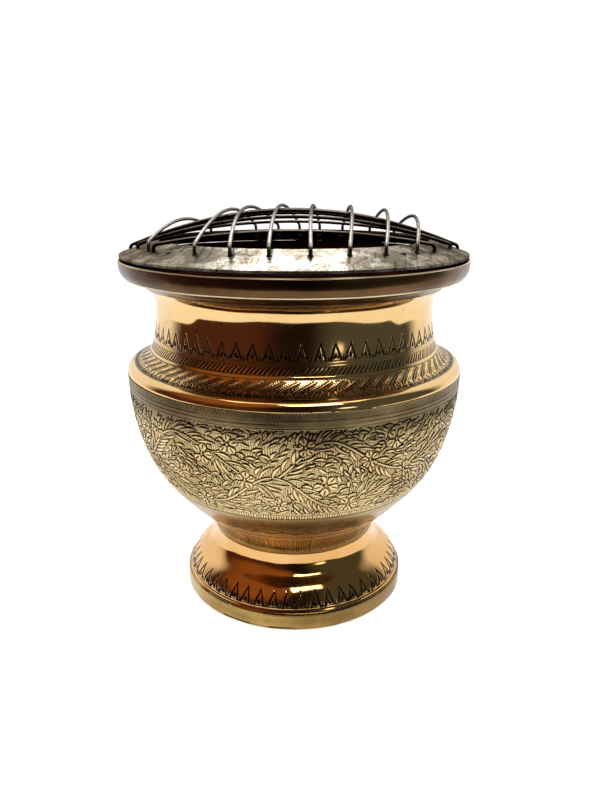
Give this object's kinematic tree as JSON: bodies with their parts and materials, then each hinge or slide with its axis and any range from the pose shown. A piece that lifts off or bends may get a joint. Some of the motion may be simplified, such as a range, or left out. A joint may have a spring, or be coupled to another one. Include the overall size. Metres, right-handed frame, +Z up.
{
  "type": "screen incense burner",
  "caption": "Footed brass incense burner: engraved round bowl, waisted neck, flared rim and a lift-off conical plate with a domed wire screen.",
  "frame": {"origin": "centre of the foot's resting face, on the floor, on the axis of the turned body", "axes": "+Z up along the turned body's axis; -Y is the front, +X is to the right seen from the front; the long screen wires run front to back"},
  "size_m": [0.13, 0.13, 0.1527],
  "materials": {
    "polished_brass": "polished, with punched and cut border lines",
    "engraved_brass": "chased leaves and flowers in bright brass on a dark patinated ground",
    "tarnished_brass": "dull tarnished cast brass with bright rubbed edges",
    "screen_brass": "hammered plate, greyish tarnish",
    "wire_brass": "drawn wire, grey-brown oxide"
  },
  "bodies": {
    "pot": {"foot": "polished_brass", "bowl": "engraved_brass", "upper_body": "polished_brass", "rim_flange": "tarnished_brass"},
    "screen_lid": {"screen_plate": "screen_brass", "long_wire_1": "wire_brass", "long_wire_2": "wire_brass", "long_wire_3": "wire_brass", "long_wire_4": "wire_brass", "long_wire_5": "wire_brass", "long_wire_6": "wire_brass", "long_wire_7": "wire_brass", "long_wire_8": "wire_brass", "cross_wire_1": "wire_brass", "cross_wire_2": "wire_brass", "cross_wire_3": "wire_brass", "cross_wire_4": "wire_brass", "cross_wire_5": "wire_brass", "cross_wire_6": "wire_brass"}
  },
  "joints": [
    {"name": "screen_lift", "type": "slide", "parent": "pot", "child": "screen_lid", "axis": [0, 0, 1], "range_m": [0, 0.06]}
  ]
}
